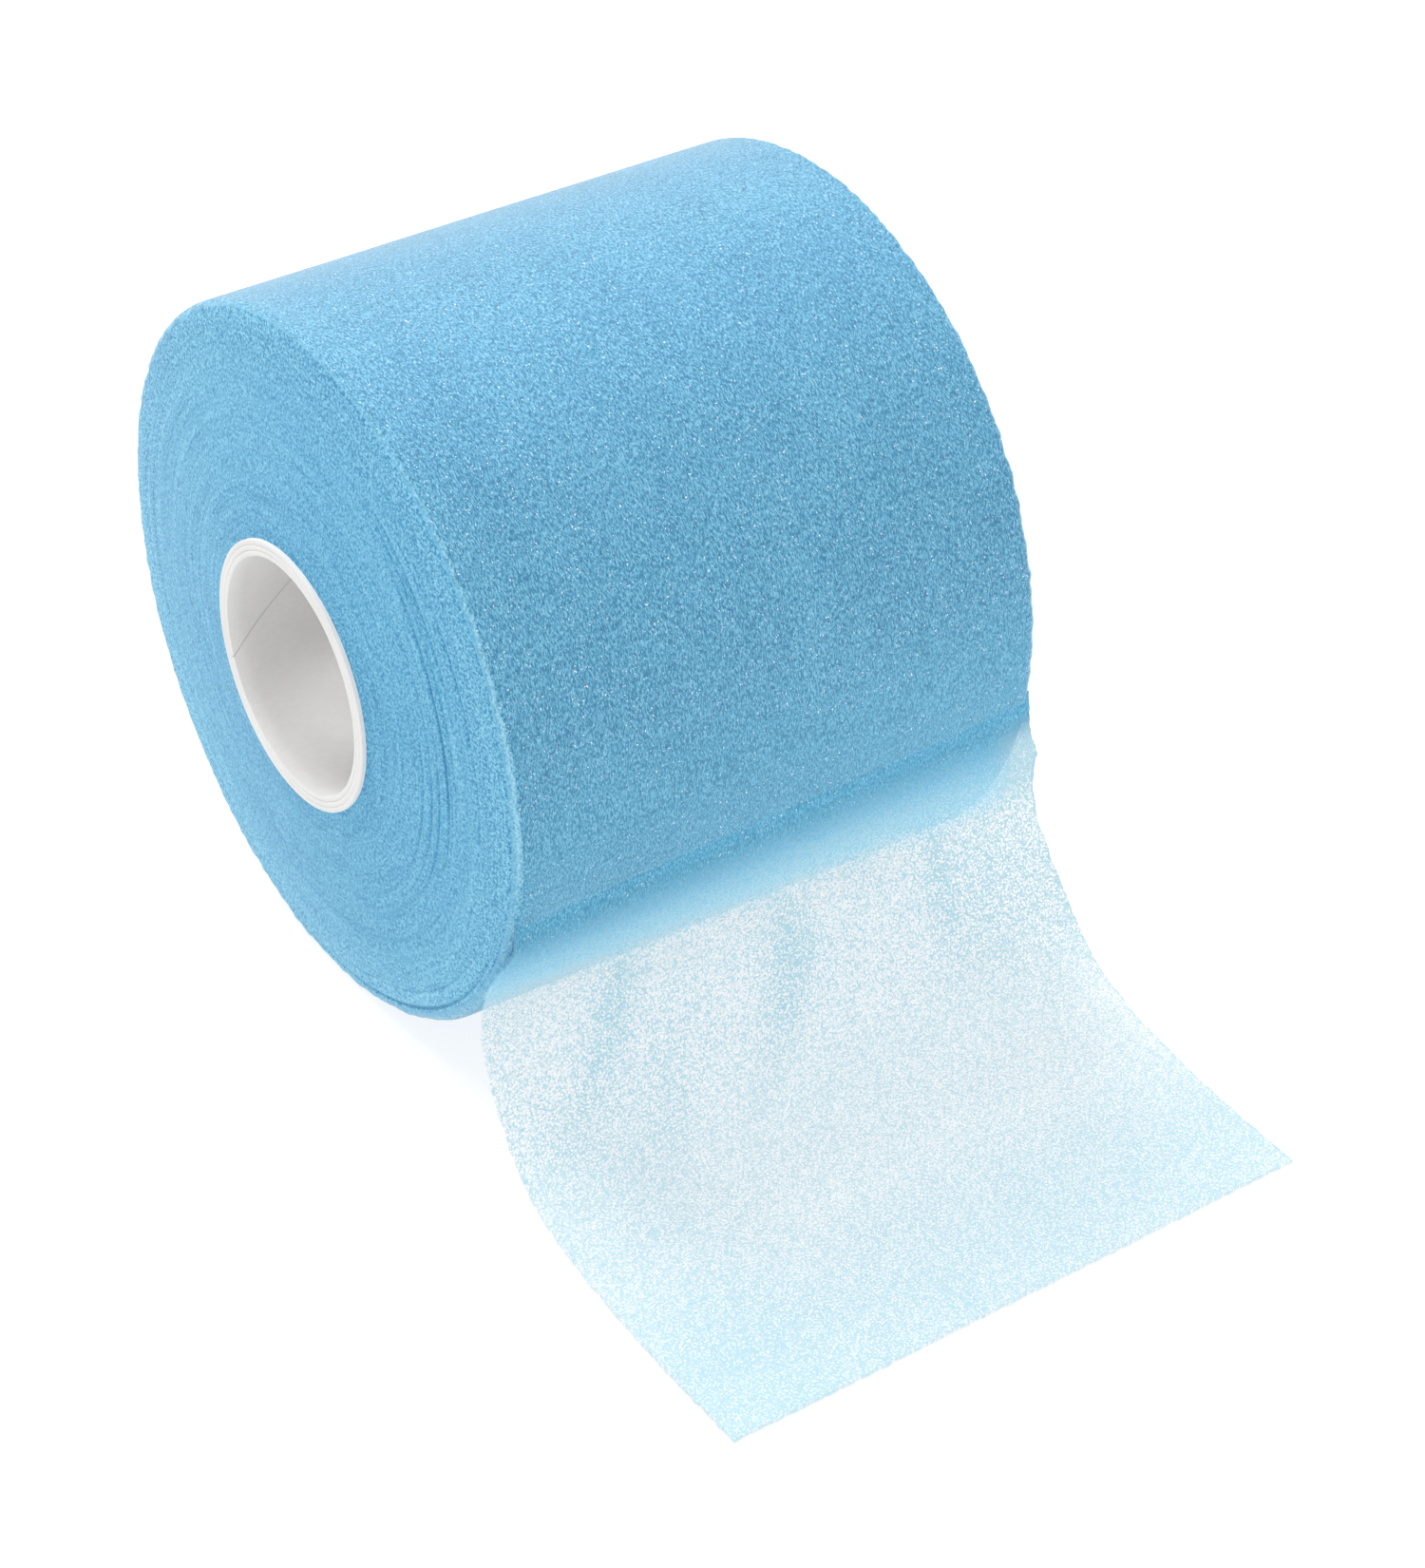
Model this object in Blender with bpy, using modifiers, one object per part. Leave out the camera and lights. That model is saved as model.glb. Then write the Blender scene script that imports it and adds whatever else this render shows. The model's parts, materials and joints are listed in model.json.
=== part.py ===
"""A roll of thin foam underwrap tape on a spiral-wound paper core, its loose tail laid on the table.

Frame: +X along the roll's axis, +Z up, the tail running out towards -Y. The origin is the middle of
the small flat that the roll's own weight settles into its lowest turns. All lengths are in metres.
"""

import math

import bmesh
import bpy
from mathutils import Vector

COLLECTION = "foam_underwrap_roll"
CUTTERS = "cutters"

# The wound roll
ROLL_RADIUS = 0.0395
RIM_HALF_WIDTH = 0.0318  # the outermost turn, stretched and so narrower than the tape at rest
HUB_HALF_WIDTH = 0.0346  # the first turn on the core
RIM_ROUNDING = 0.0008
OUTER_TURNS_DEPTH = 0.0015
SETTLED_DEPTH = 0.00033  # how far the foam flattens where it stands
GAP = 0.0003  # between solids that touch
TURNED_STEPS = 72

# The paper core
CORE_RADIUS = 0.01485
BORE_RADIUS = 0.0131
CORE_HALF_LENGTH = 0.0350
PLY_NAMES = ("core_liner_ply", "core_board_ply", "core_cover_ply")

# The loose tail
SHEET = 0.0005  # thickness of the foam at rest
PEEL_ANGLE = math.radians(17.5)  # below the horizontal, where the tail leaves the roll
PEEL_SKEW = math.radians(2.9)  # the right edge leaves higher by this, the left edge lower
PEEL_HANDLE = 0.0094
PEEL_HALF_WIDTH = 0.0335
KNEE_Y = -0.0448
KNEE_Z = 0.0064
KNEE_TILT = 0.0009  # the right edge is this much higher at the knee
KNEE_SLOPE = math.radians(46.3)  # of the sheet there, from straight down
KNEE_HANDLE_ABOVE = 0.0140
KNEE_HANDLE_BELOW = 0.0084
END_Y = -0.0846
END_SKEW = 0.00105  # the left corner reaches further out than the right one
END_HANDLE = 0.0225
END_HALF_WIDTH = 0.0353
END_OFFSET = -0.0022  # of the tail's middle line, towards -X
TABLE_CLEARANCE = 0.0001
PANEL_GAP = 0.0015  # room for two panels to fold on the hinge line between them
ACROSS = 6  # mesh cells over the tail's width
COURSE_STEP = 0.002  # of the tail's course, in which its length is counted

# Helpers that aren't part of the roll
TABLE_SIZE = 0.2
TABLE_THICKNESS = 0.01
AXIS_MARK = 0.01
MERGE_DISTANCE = 0.00001

CENTRE_Z = ROLL_RADIUS - SETTLED_DEPTH
LAID_Z = TABLE_CLEARANCE + SHEET / 2

# Each panel as (name, where it starts, where it ends, mesh cells along it): the tail's course runs
# from 0 at the peel line through 1 at the knee to 2 at the cut end.
PANELS = (
    ("tail_drop_panel", 0.0, 0.55, 4),
    ("tail_knee_panel", 0.55, 1.20, 6),
    ("tail_laid_panel", 1.20, 1.62, 4),
    ("tail_end_panel", 1.62, 2.0, 3),
)

PAPER = ("core_paper", (0.76, 0.75, 0.73), 0.85)
FOAM = ("wound_foam", (0.13, 0.38, 0.60), 0.75)
SHEET_FOAM = ("loose_foam", (0.72, 0.84, 0.88), 0.70)


def clear_scene():
    for obj in list(bpy.data.objects):
        bpy.data.objects.remove(obj, do_unlink=True)


def new_collection(name):
    collection = bpy.data.collections.new(name)
    bpy.context.scene.collection.children.link(collection)
    return collection


def material(finish):
    name, colour, roughness = finish
    found = bpy.data.materials.get(name)
    if found:
        return found
    made = bpy.data.materials.new(name)
    made.use_nodes = True
    shader = made.node_tree.nodes["Principled BSDF"]
    shader.inputs["Base Color"].default_value = (*colour, 1.0)
    shader.inputs["Roughness"].default_value = roughness
    shader.inputs["Metallic"].default_value = 0.0
    return made


def add_object(name, mesh, collection, finish):
    obj = bpy.data.objects.new(name, mesh)
    collection.objects.link(obj)
    mesh.materials.append(material(finish))
    return obj


def empty(name, collection, place, parent=None):
    axis = bpy.data.objects.new(name, None)
    collection.objects.link(axis)
    axis.empty_display_size = AXIS_MARK
    axis.parent = parent
    axis.location = Vector(place) - (parent.location if parent else Vector())
    return axis


def turned(name, outline, collection, finish, spindle):
    """A ring turned about the roll's axis from a closed outline of (radius, place along the axis)."""
    mesh = bpy.data.meshes.new(name)
    points = [(radius, 0.0, along) for radius, along in outline]
    edges = [(i, (i + 1) % len(points)) for i in range(len(points))]
    mesh.from_pydata(points, edges, [])
    ring = add_object(name, mesh, collection, finish)
    screw = ring.modifiers.new("turn", "SCREW")
    screw.axis = "Z"
    screw.steps = TURNED_STEPS
    screw.render_steps = TURNED_STEPS
    screw.use_merge_vertices = True
    screw.merge_threshold = MERGE_DISTANCE
    screw.use_smooth_shade = True
    ring.parent = spindle
    ring.rotation_euler = (0.0, math.radians(90), 0.0)
    return ring


def half_width(radius):
    """Half the tape's width where it is wound at this radius: the tighter turns near the rim are narrower."""
    outward = (radius - CORE_RADIUS) / (ROLL_RADIUS - CORE_RADIUS)
    return HUB_HALF_WIDTH + (RIM_HALF_WIDTH - HUB_HALF_WIDTH) * outward


def ring_outline(inner, outer, rounding=0.0):
    """The section of turns wound from one radius to another, running down its outer side."""
    shoulder = half_width(outer) - rounding
    right = [(outer, shoulder)]
    if rounding:
        right.append((outer - rounding, half_width(outer - rounding)))
    right.append((inner, half_width(inner)))
    right.reverse()
    left = [(radius, -along) for radius, along in reversed(right)]
    return right + left


def make_core(collection, spindle):
    """Three plies of paper wound in a spiral one over the other, each its own tube."""
    wall = CORE_RADIUS - BORE_RADIUS
    ply = (wall - GAP * (len(PLY_NAMES) - 1)) / len(PLY_NAMES)
    for index, name in enumerate(PLY_NAMES):
        inner = BORE_RADIUS + index * (ply + GAP)
        outer = inner + ply
        outline = [
            (inner, CORE_HALF_LENGTH),
            (outer, CORE_HALF_LENGTH),
            (outer, -CORE_HALF_LENGTH),
            (inner, -CORE_HALF_LENGTH),
        ]
        turned(name, outline, collection, PAPER, spindle)


def make_windings(collection, spindle):
    outer = ROLL_RADIUS - OUTER_TURNS_DEPTH - GAP
    outline = ring_outline(CORE_RADIUS + GAP, outer)
    turned("tape_windings", outline, collection, FOAM, spindle)


def make_outer_turns(collection, cutters):
    """The last turns, which the tail leaves. They stand on a small settled flat."""
    stand = empty("outer_turns_axis", collection, (0.0, 0.0, CENTRE_Z))
    outline = ring_outline(ROLL_RADIUS - OUTER_TURNS_DEPTH, ROLL_RADIUS, RIM_ROUNDING)
    ring = turned("tape_outer_turns", outline, collection, FOAM, stand)
    bpy.ops.mesh.primitive_cube_add(size=1.0, location=(0.0, 0.0, -TABLE_THICKNESS / 2))
    table = bpy.context.object
    table.name = "table_cutter"
    table.dimensions = (TABLE_SIZE, TABLE_SIZE, TABLE_THICKNESS)
    bpy.ops.object.transform_apply(location=False, rotation=False, scale=True)
    for owner in list(table.users_collection):
        owner.objects.unlink(table)
    cutters.objects.link(table)
    table.hide_render = True
    table.display_type = "WIRE"
    settle = ring.modifiers.new("settled_flat", "BOOLEAN")
    settle.operation = "DIFFERENCE"
    settle.solver = "EXACT"
    settle.object = table
    return stand


def bezier(points, t):
    a, b, c, d = points
    s = 1.0 - t
    return a * s**3 + b * (3 * s * s * t) + c * (3 * s * t * t) + d * t**3


def tail_point(course, side):
    """The tail's middle surface. course: 0 at the peel line, 1 at the knee, 2 at the cut end.
    side: -1 at the left edge, 1 at the right edge."""
    peel = PEEL_ANGLE - PEEL_SKEW * side
    radius = ROLL_RADIUS + SHEET / 2 + GAP
    start = Vector((0.0, -radius * math.cos(peel), CENTRE_Z - radius * math.sin(peel)))
    leaving = Vector((0.0, math.sin(peel), -math.cos(peel)))
    knee = Vector((0.0, KNEE_Y, KNEE_Z + KNEE_TILT * side))
    falling = Vector((0.0, -math.sin(KNEE_SLOPE), -math.cos(KNEE_SLOPE)))
    end = Vector((0.0, END_Y + END_SKEW * side, LAID_Z))
    laid = Vector((0.0, -1.0, 0.0))
    if course <= 1.0:
        above = knee - falling * KNEE_HANDLE_ABOVE
        place = bezier((start, start + leaving * PEEL_HANDLE, above, knee), course)
    else:
        below = knee + falling * KNEE_HANDLE_BELOW
        below.z = max(below.z, LAID_Z)
        place = bezier((knee, below, end - laid * END_HANDLE, end), course - 1.0)
    along = course / 2.0
    widening = min(1.0, course)
    half = PEEL_HALF_WIDTH + (END_HALF_WIDTH - PEEL_HALF_WIDTH) * widening
    drift = END_OFFSET * along * along * (3.0 - 2.0 * along)
    place.x = drift + half * side
    return place


def course_after(course, distance):
    """The course value this far along the tail's middle line from another one."""
    step = math.copysign(COURSE_STEP, distance)
    gone = 0.0
    place = tail_point(course, 0.0)
    while gone < abs(distance):
        course += step
        following = tail_point(course, 0.0)
        gone += (following - place).length
        place = following
    return course


def make_panel(name, start, end, cells, collection, hinge):
    """One stretch of the tail between two hinge lines: a curved surface given the foam's thickness."""
    first = course_after(start, PANEL_GAP / 2)
    last = end if end == 2.0 else course_after(end, -PANEL_GAP / 2)
    sheet = bmesh.new()
    bmesh.ops.create_grid(sheet, x_segments=ACROSS, y_segments=cells, size=1.0)
    for vertex in sheet.verts:
        share = (vertex.co.y + 1.0) / 2.0
        course = first + (last - first) * share
        vertex.co = tail_point(course, vertex.co.x) - hinge.matrix_world.translation
    bmesh.ops.recalc_face_normals(sheet, faces=sheet.faces)
    mesh = bpy.data.meshes.new(name)
    sheet.to_mesh(mesh)
    sheet.free()
    panel = add_object(name, mesh, collection, SHEET_FOAM)
    panel.parent = hinge
    thick = panel.modifiers.new("thickness", "SOLIDIFY")
    thick.thickness = SHEET
    thick.offset = 0.0
    thick.use_even_offset = True
    return panel


def make_tail(collection, stand):
    """A chain of panels, each hung on the one before at the line between them."""
    parent = stand
    for name, start, end, cells in PANELS:
        hinge = empty(name.replace("panel", "hinge"), collection, (0.0, 0.0, 0.0))
        hinge.parent = parent
        parent_place = parent.matrix_world.translation
        hinge.location = tail_point(start, 0.0) - parent_place
        bpy.context.view_layer.update()
        make_panel(name, start, end, cells, collection, hinge)
        parent = hinge


def main():
    clear_scene()
    collection = new_collection(COLLECTION)
    cutters = new_collection(CUTTERS)
    spindle = empty("core_axis", collection, (0.0, 0.0, CENTRE_Z))
    make_core(collection, spindle)
    make_windings(collection, spindle)
    stand = make_outer_turns(collection, cutters)
    bpy.context.view_layer.update()
    make_tail(collection, stand)


main()
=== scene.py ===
import json
import math

import bpy
import numpy as np
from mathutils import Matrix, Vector, noise


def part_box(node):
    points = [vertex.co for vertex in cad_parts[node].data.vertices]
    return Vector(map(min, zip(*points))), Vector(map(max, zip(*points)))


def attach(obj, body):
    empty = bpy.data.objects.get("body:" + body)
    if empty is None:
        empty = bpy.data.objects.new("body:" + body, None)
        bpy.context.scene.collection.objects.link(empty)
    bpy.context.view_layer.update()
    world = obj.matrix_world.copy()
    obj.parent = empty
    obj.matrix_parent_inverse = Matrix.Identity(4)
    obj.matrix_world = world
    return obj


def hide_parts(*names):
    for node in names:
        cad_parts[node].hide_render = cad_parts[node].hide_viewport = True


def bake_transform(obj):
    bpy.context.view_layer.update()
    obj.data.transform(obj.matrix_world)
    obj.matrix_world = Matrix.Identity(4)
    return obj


# The looks of a roll of thin foam underwrap tape with its loose tail. Lengths are in metres.
# Angles round the roll are measured in its cross-section, from the horizontal towards -Y, upwards.

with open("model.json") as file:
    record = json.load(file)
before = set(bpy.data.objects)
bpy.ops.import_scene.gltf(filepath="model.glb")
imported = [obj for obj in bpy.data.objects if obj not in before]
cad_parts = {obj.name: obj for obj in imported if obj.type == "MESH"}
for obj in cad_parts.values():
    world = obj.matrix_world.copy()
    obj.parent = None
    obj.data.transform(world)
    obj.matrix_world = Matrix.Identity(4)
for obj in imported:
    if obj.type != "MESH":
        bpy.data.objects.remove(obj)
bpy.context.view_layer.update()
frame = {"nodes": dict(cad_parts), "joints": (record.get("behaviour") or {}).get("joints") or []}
MM = 0.001


def joint(name):
    return next(j for j in frame["joints"] if j["name"] == name)


def radii(node):
    """(smallest, largest) distance of a CAD node's corners from the roll's axis."""
    corners = [vertex.co for vertex in frame["nodes"][node].data.vertices]
    found = [math.hypot(c.y - CENTRE.y, c.z - CENTRE.z) for c in corners]
    return min(found), max(found)


CENTRE = Vector(joint("unwind")["pos_m"])
OUTER_RADIUS = radii("tape_outer_turns")[1]
OUTER_TURNS_INNER = radii("tape_outer_turns")[0]
CORE_RADIUS = radii("core_cover_ply")[1]
BORE_RADIUS = radii("core_liner_ply")[0]
CORE_HALF_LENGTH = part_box("core_cover_ply")[1].x
HUB_HALF_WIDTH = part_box("tape_windings")[1].x
RIM_HALF_WIDTH = 31.8 * MM

# The loose tail's course, the same as the CAD panels'
SHEET = 0.5 * MM
SHEET_LIFT = 0.3 * MM  # between the roll and the sheet at the peel line
PEEL_ANGLE = math.radians(17.5)
PEEL_SKEW = math.radians(2.9)
PEEL_HANDLE = 9.4 * MM
PEEL_HALF_WIDTH = 33.5 * MM
KNEE = Vector((0.0, -44.8 * MM, 6.4 * MM))
KNEE_TILT = 0.9 * MM
KNEE_SLOPE = math.radians(46.3)
KNEE_HANDLE_ABOVE = 14.0 * MM
KNEE_HANDLE_BELOW = 8.4 * MM
LAID_Z = 0.35 * MM
END_Y = -84.6 * MM
END_SKEW = 1.05 * MM
END_HANDLE = 22.5 * MM
END_HALF_WIDTH = 35.3 * MM
END_OFFSET = -2.2 * MM
TAPE_WIDTH = 70.0 * MM

# What the looks add to that course
LEAD_IN = 5.0 * MM  # how far the last turn is drawn above the peel line
LEAD_COURSE = 0.25  # the course given to that stretch, which runs from minus this to 0
LEAD_SUNK = 0.35 * MM  # how deep in the roll that stretch starts
RIM_MARGIN = 0.3 * MM  # how far inside the roll's rim the sheet's edge stays at the peel line
TOP_LOWEST = 0.30 * MM  # the lowest that the sheet's upper layer lies above the table
BOTTOM_LOWEST = 0.05 * MM  # and its lower layer
SHEET_MESH = 0.45 * MM  # between the rows of the sheet's mesh
SHEET_ACROSS = 150  # points in each row

# The spiral butt joint of the liner's strip, in millimetres
SEAM_LEAD = 93.0  # how far it advances along the bore in one turn
SEAM_START = -34.9  # where it begins, near the left end
SEAM_START_TURN = -160.7 / 360  # and how far round the bore that is
SEAM_WIDTH = 0.09

# Sizes of the foam's texture and of its painted glints, in millimetres: along the roll's axis, and
# round it
GRAIN_CELL = (0.14, 0.40, 0.40)
PORE_CELL = (0.15, 0.22, 0.22)
GLINT_CELL = (0.16, 0.24, 0.24)
DRIFT_CELL = (9.0, 14.0, 14.0)
FIBRE_CELL = (0.9, 0.35, 0.35)
# On the faces: outwards, and round the roll as a share of the radius
FACE_LINE_CELL = (0.32, 0.45, 0.45)
FACE_BAND_CELL = (1.6, 0.8, 0.8)

# Colours, linear
FOAM_DEEP = (0.040, 0.245, 0.455)
FOAM_MID = (0.105, 0.412, 0.645)
FOAM_PALE = (0.280, 0.645, 0.840)
# The roll's side: a darker copy of the faces' colours, painted shade for the side getting less light
# than the faces
SIDE_SHADE_DEEP = (0.028, 0.180, 0.330)
SIDE_SHADE_MID = (0.080, 0.320, 0.510)
SIDE_SHADE_PALE = (0.190, 0.490, 0.680)
# Painted light low at the front of the side
SIDE_PAINTED_LIGHT = (0.100, 0.510, 0.765)
SHEET_WALL = (0.360, 0.610, 0.700)
SHEET_CELL = (0.980, 0.950, 0.950)
# The painted blue band: the roll and its light seen through the sheet
BAND_WALL = (0.160, 0.530, 0.800)
BAND_CELL = (0.720, 0.980, 1.000)
# The rim's painted highlight line
RIM_HIGHLIGHT = (0.360, 0.720, 0.900)
# Painted glints on the side
PAINTED_GLINT = (0.85, 0.93, 0.97)
PAPER = (0.80, 0.795, 0.785)
PAPER_SEAM = (0.45, 0.45, 0.45)
FLOOR = (0.28, 0.28, 0.28)
WHITE = (1.0, 1.0, 1.0)

RANDOM = np.random.default_rng(7)


# ---------------------------------------------------------------- materials


class Finish:
    """One procedural material: a Principled shader and a short call for each node that feeds it."""

    def __init__(self, name, constants):
        self.material = bpy.data.materials.new(name)
        self.material.use_nodes = True
        self.tree = self.material.node_tree
        self.shader = self.tree.nodes["Principled BSDF"]
        for socket, value in constants.items():
            self.shader.inputs[socket].default_value = value

    def node(self, kind, inputs, **settings):
        made = self.tree.nodes.new("ShaderNode" + kind)
        for setting, value in settings.items():
            setattr(made, setting, value)
        for socket, value in inputs.items():
            self.feed(made.inputs[socket], value)
        return made

    def feed(self, socket, value):
        if isinstance(value, bpy.types.NodeSocket):
            self.tree.links.new(value, socket)
        else:
            socket.default_value = value

    def into(self, socket, value):
        self.feed(self.shader.inputs[socket], value)

    def maths(self, operation, first, second=0.0):
        return self.node("Math", {0: first, 1: second}, operation=operation).outputs[0]

    def times(self, first, second):
        return self.maths("MULTIPLY", first, second)

    def total(self, first, *others):
        for other in others:
            first = self.maths("ADD", first, other)
        return first

    def span(self, value, low, high, to_low=0.0, to_high=1.0):
        """The value carried from low..high to to_low..to_high, and held at the ends."""
        inputs = {
            "Value": value,
            "From Min": low,
            "From Max": high,
            "To Min": to_low,
            "To Max": to_high,
        }
        return self.node("MapRange", inputs).outputs[0]

    def mix(self, share, first, second):
        """A colour between two others, which are colours or sockets."""
        ends = [c if isinstance(c, bpy.types.NodeSocket) else (*c, 1.0) for c in (first, second)]
        made = self.node("Mix", {0: share, 6: ends[0], 7: ends[1]}, data_type="RGBA")
        return made.outputs[2]

    def fade(self, share, first, second):
        """A number between two others."""
        return self.node("Mix", {0: share, 2: first, 3: second}, data_type="FLOAT").outputs[0]

    def place(self):
        """Where the point is from the roll's centre, in millimetres."""
        found = self.node("TexCoord", {}).outputs["Object"]
        moved = self.node("VectorMath", {0: found, 1: tuple(CENTRE)}, operation="SUBTRACT")
        return self.scaled(moved.outputs[0], 1 / MM)

    def scaled(self, vector, scale):
        inputs = {0: vector, "Scale": scale}
        return self.node("VectorMath", inputs, operation="SCALE").outputs[0]

    def in_cells(self, vector, sizes):
        """The vector counted in cells of these sizes."""
        return self.node("VectorMath", {0: vector, 1: sizes}, operation="DIVIDE").outputs[0]

    def cloud(self, vector, scale=1.0, detail=2.0, roughness=0.5, output="Fac"):
        inputs = {"Vector": vector, "Scale": scale, "Detail": detail, "Roughness": roughness}
        return self.node("TexNoise", inputs).outputs[output]

    def attribute(self, name):
        return self.node("Attribute", {}, attribute_name=name).outputs["Fac"]

    def bump(self, height, strength, distance):
        inputs = {"Height": height, "Strength": strength, "Distance": distance}
        self.into("Normal", self.node("Bump", inputs).outputs[0])


FOAM_SURFACE = {
    "Roughness": 0.62,
    "Specular IOR Level": 0.45,
    "Sheen Weight": 0.55,
    "Sheen Roughness": 0.45,
    "Sheen Tint": (0.86, 0.95, 1.0, 1.0),
}
FACE_SURFACE = dict(FOAM_SURFACE)
FACE_SURFACE.update({"Roughness": 0.75, "Specular IOR Level": 0.25, "Sheen Weight": 0.30})
SHEET_SURFACE = dict(FOAM_SURFACE)
SHEET_SURFACE["Sheen Weight"] = 0.15


def side_look(finish, place):
    """(colour, height) of foam seen flat on: crepe grain drawn out along the tape in a darker,
    painted-shade copy of the faces' colours, painted light low at the front, and a few painted
    glints.
    """
    grain = finish.cloud(finish.in_cells(place, GRAIN_CELL), detail=1.5, roughness=0.6)
    pores = finish.cloud(finish.in_cells(place, PORE_CELL), detail=1.0)
    drift = finish.cloud(finish.in_cells(place, DRIFT_CELL), detail=3.0)
    tone = finish.total(
        finish.span(grain, 0.30, 0.70, -0.95, 0.95),
        finish.span(drift, 0.3, 0.7, -0.08, 0.08),
        finish.span(pores, 0.30, 0.70, -0.30, 0.30),
    )
    # Painted shade: the side's grain in a darker copy of the faces' colours
    below = finish.mix(finish.span(tone, -0.6, 0.0), SIDE_SHADE_DEEP, SIDE_SHADE_MID)
    colour = finish.mix(finish.span(tone, 0.0, 0.8), below, SIDE_SHADE_PALE)
    # Painted light: the side is painted lighter low at the front, more towards the right
    colour = finish.mix(painted_low_front_light(finish, place), colour, SIDE_PAINTED_LIGHT)
    # Painted glints: a few small white painted highlights on the grain
    painted_glints = finish.cloud(finish.in_cells(place, GLINT_CELL), detail=0.0)
    colour = finish.mix(finish.span(painted_glints, 0.75, 0.83), colour, PAINTED_GLINT)
    return colour, finish.total(grain, pores)


def painted_low_front_light(finish, place):
    """Painted light: how much lighter the side is painted low at the front, where the last turn is
    about to leave the roll, and more towards the right, standing in for light thrown back from the
    table."""
    x, y, z = finish.node("SeparateXYZ", {0: place}).outputs
    low_front = finish.times(finish.span(z, 10.0, -12.0), finish.span(y, -15.0, -32.0))
    return finish.times(low_front, finish.span(x, -32.0, 32.0, 0.22, 0.40))


def side_foam():
    """The outermost turn's outside. Its rim turns into the face, along a thin painted highlight
    line.
    """
    finish = Finish("foam_side", FOAM_SURFACE)
    colour, height = side_look(finish, finish.place())
    turned = finish.mix(finish.span(height, 0.8, 1.6), FOAM_MID, FOAM_PALE)
    colour = finish.mix(finish.attribute("edge"), colour, turned)
    # Painted highlight along the rim, brightest low at the front
    pale = finish.total(finish.times(height, 2.0), finish.times(finish.attribute("rim"), 1.6))
    finish.into("Base Color", finish.mix(finish.span(pale, 2.3, 4.3), colour, RIM_HIGHLIGHT))
    finish.bump(height, 0.40, 0.14 * MM)
    return finish.material


def face_foam():
    """The edges of the turns: fine speckle, faint lines round the core, and some gaps where turns
    lie loosely, painted dark as shade in them. Low down towards the rim the face is painted lighter,
    a painted sheen."""
    finish = Finish("foam_face", FACE_SURFACE)
    place = finish.place()
    y, z = finish.node("SeparateXYZ", {0: place}).outputs[1:3]
    radius = finish.maths("SQRT", finish.total(finish.times(y, y), finish.times(z, z)))
    heading = [finish.maths("DIVIDE", side, radius) for side in (y, z)]
    round_roll = finish.node("CombineXYZ", {0: radius, 1: heading[0], 2: heading[1]}).outputs[0]
    lines = finish.cloud(finish.in_cells(round_roll, FACE_LINE_CELL), roughness=0.6)
    bands = finish.cloud(finish.in_cells(round_roll, FACE_BAND_CELL))
    speckle = finish.cloud(place, scale=3.4, roughness=0.6)
    rougher_outside = finish.span(radius, 31.0, 38.5, 0.70, 1.15)
    # Painted sheen: the face is painted lighter low down towards the rim
    painted_sheen_low = finish.span(heading[1], 0.6, -0.8)
    tone = finish.total(
        finish.span(lines, 0.3, 0.7, -0.16, 0.16),
        finish.span(bands, 0.3, 0.7, -0.10, 0.10),
        finish.times(finish.span(speckle, 0.3, 0.7, -1.0, 1.0), rougher_outside),
        finish.times(finish.span(radius, 29.0, 38.5, 0.0, 0.34), painted_sheen_low),
        finish.span(radius, 15.0, 24.0, -0.16, 0.0),
    )
    below = finish.mix(finish.span(tone, -0.6, 0.0), FOAM_DEEP, FOAM_MID)
    colour = finish.mix(finish.span(tone, -0.05, 0.9), below, FOAM_PALE)
    # Painted shade in the gaps between loose turns
    finish.into("Base Color", finish.mix(finish.attribute("gap"), colour, FOAM_DEEP))
    finish.bump(finish.total(finish.times(lines, 0.3), speckle), 0.30, 0.10 * MM)
    return finish.material


def sheet_net(finish):
    """(tone, density, height) of one layer of the foam: a net of tiny pale cells with darker walls,
    closer together along the soft folds; the density also carries painted shade. Where the sheet
    hangs free it is painted lighter, with stronger contrast, as painted light. The noise scales are
    in cells per millimetre."""
    flat = finish.scaled(finish.node("UVMap", {}, uv_map="flat").outputs[0], 1 / MM)
    wobble = finish.scaled(finish.cloud(flat, scale=2.0, detail=1.0, output="Color"), 0.22)
    warped = finish.node("VectorMath", {0: flat, 1: wobble}, operation="ADD").outputs[0]
    cells = finish.node("TexVoronoi", {"Vector": warped, "Scale": 3.2}).outputs["Distance"]
    dots = finish.span(cells, 0.16, 0.64, 1.0, 0.0)
    fine = finish.span(finish.cloud(flat, scale=5.2, detail=1.0), 0.32, 0.68)
    clumps = finish.span(finish.cloud(flat, scale=1.1), 0.35, 0.65, -0.08, 0.08)
    drift = finish.span(finish.cloud(flat, scale=0.16, detail=3.0), 0.35, 0.65, -0.05, 0.05)
    density_and_painted_shade = finish.total(finish.attribute("fold"), drift)
    free = finish.attribute("free")
    net = finish.total(finish.times(dots, 0.60), finish.times(fine, 0.50), clumps, -0.52)
    # Painted light: where the sheet hangs free its tone is painted lighter and its net stronger
    tone = finish.total(
        finish.times(net, finish.span(free, 0.0, 1.0, 1.35, 1.6)),
        finish.span(free, 0.0, 1.0, 0.50, 0.67),
        finish.times(density_and_painted_shade, -0.45),
    )
    return finish.span(tone, 0.0, 1.0), density_and_painted_shade, dots


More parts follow.
